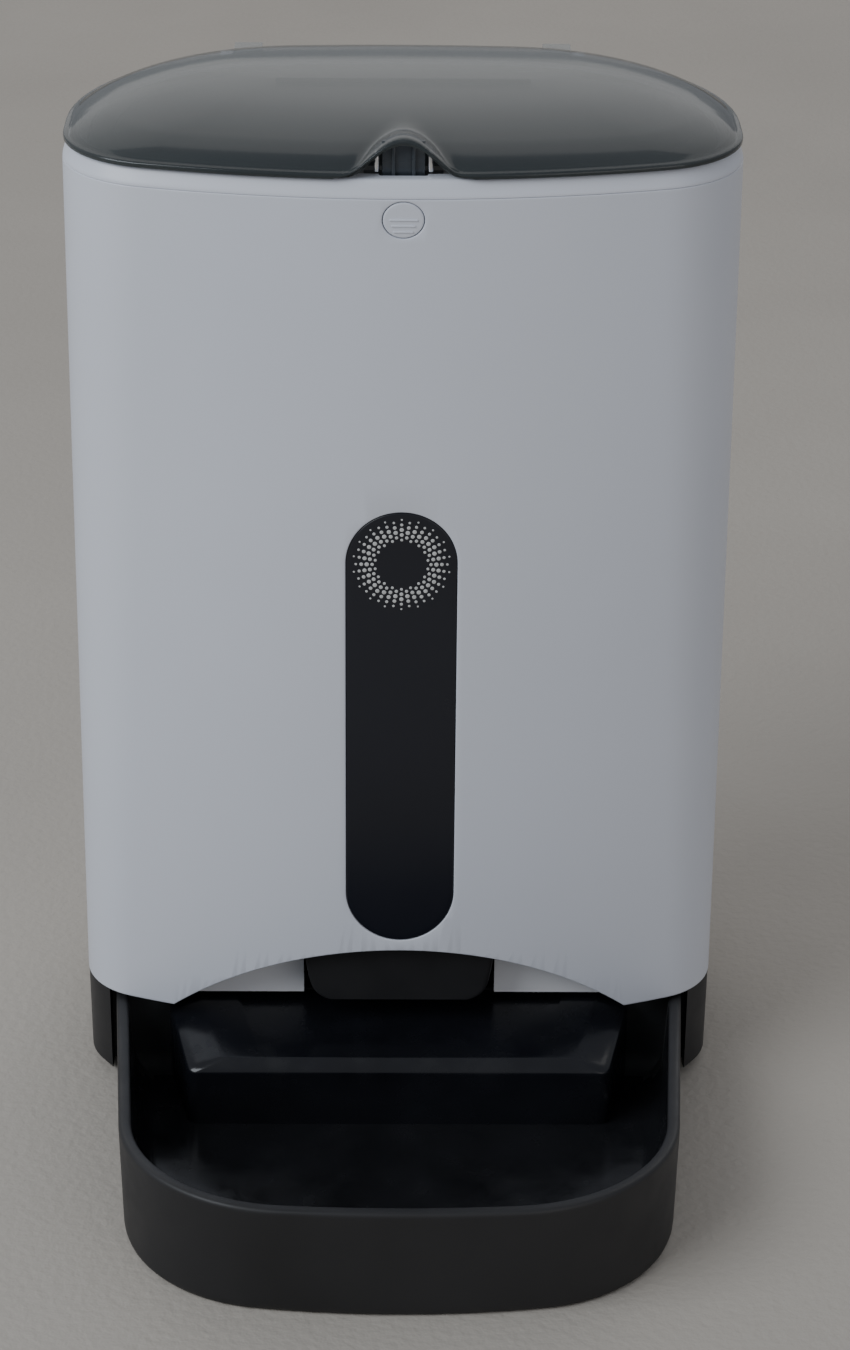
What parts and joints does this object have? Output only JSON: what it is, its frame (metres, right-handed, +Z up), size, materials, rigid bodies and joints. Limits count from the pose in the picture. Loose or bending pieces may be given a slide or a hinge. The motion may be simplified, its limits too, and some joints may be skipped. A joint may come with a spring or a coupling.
{
  "type": "automatic pet feeder",
  "caption": "Free-standing dry food dispenser for pets with a domed clear lid, a white tapered housing, a portion rotor with gear drive and a pull-out bowl.",
  "frame": {"origin": "on the ground, under the middle of the whole feeder", "axes": "+Z up, -Y towards the tray, +X to the right seen from the front"},
  "size_m": [0.2288, 0.2788, 0.3641],
  "materials": {
    "white_shell": "satin white moulded ABS",
    "clear_smoke": "polished smoke-grey clear plastic",
    "black_plastic": "fine-textured black moulded plastic",
    "black_gloss": "smooth black panel",
    "seal_rubber": "soft dark seal",
    "soft_vane": "silicone rubber",
    "steel": "plain steel",
    "bright_steel": "bright plated steel",
    "gear_plastic": "natural acetal",
    "grey_plastic": "grey moulded plastic",
    "tank_plastic": "smooth grey food-safe plastic",
    "board_green": "circuit board",
    "chip_black": "moulded components",
    "cell_label": "plain battery sleeve",
    "brass": "turned brass"
  },
  "bodies": {
    "housing": {"housing_shell": "white_shell", "top_rim": "white_shell", "front_panel": "black_gloss", "hinge_pins": "steel", "button_spring": "steel", "latch_bracket": "grey_plastic", "hopper": "tank_plastic", "rotor_housing": "grey_plastic", "idler_axle": "steel", "gear_motor": "steel", "gear_plate": "steel", "shaft_bush": "brass", "gearbox_screws": "bright_steel", "motor_screws": "bright_steel", "mechanism_deck": "grey_plastic", "chute": "black_plastic", "inner_front_panel": "white_shell", "base": "black_plastic", "rubber_feet": "seal_rubber", "base_screws": "bright_steel", "battery_1": "cell_label", "battery_2": "cell_label", "battery_3": "cell_label", "battery_box": "black_plastic", "battery_springs": "bright_steel", "battery_plates": "bright_steel", "speaker": "steel", "speaker_cone": "chip_black", "control_board": "board_green", "board_components": "chip_black", "key_board": "board_green", "key_switches": "chip_black", "dc_jack": "black_plastic"},
    "lid_assembly": {"lid": "clear_smoke", "hinge_arms": "black_plastic", "lid_gasket": "seal_rubber", "lid_latch": "clear_smoke", "latch_posts": "bright_steel"},
    "button": {"release_button": "white_shell"},
    "tray": {"feeding_tray": "black_plastic"},
    "rotor": {"output_gear": "gear_plastic", "drive_shaft": "steel", "rotor_hub": "grey_plastic", "rotor_vanes": "soft_vane", "agitator": "steel"},
    "idler": {"idler_gear": "gear_plastic"},
    "pinion": {"motor_pinion": "brass", "motor_shaft": "steel"},
    "door": {"battery_door": "black_plastic"},
    "setup": {"setup_key": "grey_plastic"},
    "record": {"record_key": "grey_plastic"}
  },
  "joints": [
    {"name": "lid_hinge", "type": "hinge", "parent": "housing", "child": "lid_assembly", "pos_m": [0, 0.1385, 0.348], "axis": [-1, 0, 0], "range_deg": [0, 95]},
    {"name": "button_press", "type": "slide", "parent": "housing", "child": "button", "axis": [0, 1, 0], "range_m": [0, 0.0022], "stiffness_N_per_m": 900, "springref_m": -0.0015, "deforming": ["button_spring"]},
    {"name": "tray_slide", "type": "slide", "parent": "housing", "child": "tray", "axis": [0, -1, 0], "range_m": [0, 0.17]},
    {"name": "rotor_spin", "type": "hinge", "parent": "housing", "child": "rotor", "pos_m": [0, 0.072, 0], "axis": [0, 0, 1], "continuous": true},
    {"name": "idler_spin", "type": "hinge", "parent": "housing", "child": "idler", "pos_m": [0.03762, 0.072, 0], "axis": [0, 0, 1], "continuous": true},
    {"name": "pinion_spin", "type": "hinge", "parent": "housing", "child": "pinion", "pos_m": [0.0637, 0.08706, 0], "axis": [0, 0, 1], "continuous": true},
    {"name": "battery_door_slide", "type": "slide", "parent": "housing", "child": "door", "axis": [0, 1, 0], "range_m": [0, 0.075]},
    {"name": "setup_key_press", "type": "slide", "parent": "housing", "child": "setup", "axis": [0, -1, 0], "range_m": [0, 0.0012], "stiffness_N_per_m": 600, "springref_m": -0.0008},
    {"name": "record_key_press", "type": "slide", "parent": "housing", "child": "record", "axis": [0, -1, 0], "range_m": [0, 0.0012], "stiffness_N_per_m": 600, "springref_m": -0.0008}
  ],
  "couplings": [
    {"joint": "idler_spin", "follows": "rotor_spin", "ratio": -4},
    {"joint": "pinion_spin", "follows": "rotor_spin", "ratio": 12}
  ]
}
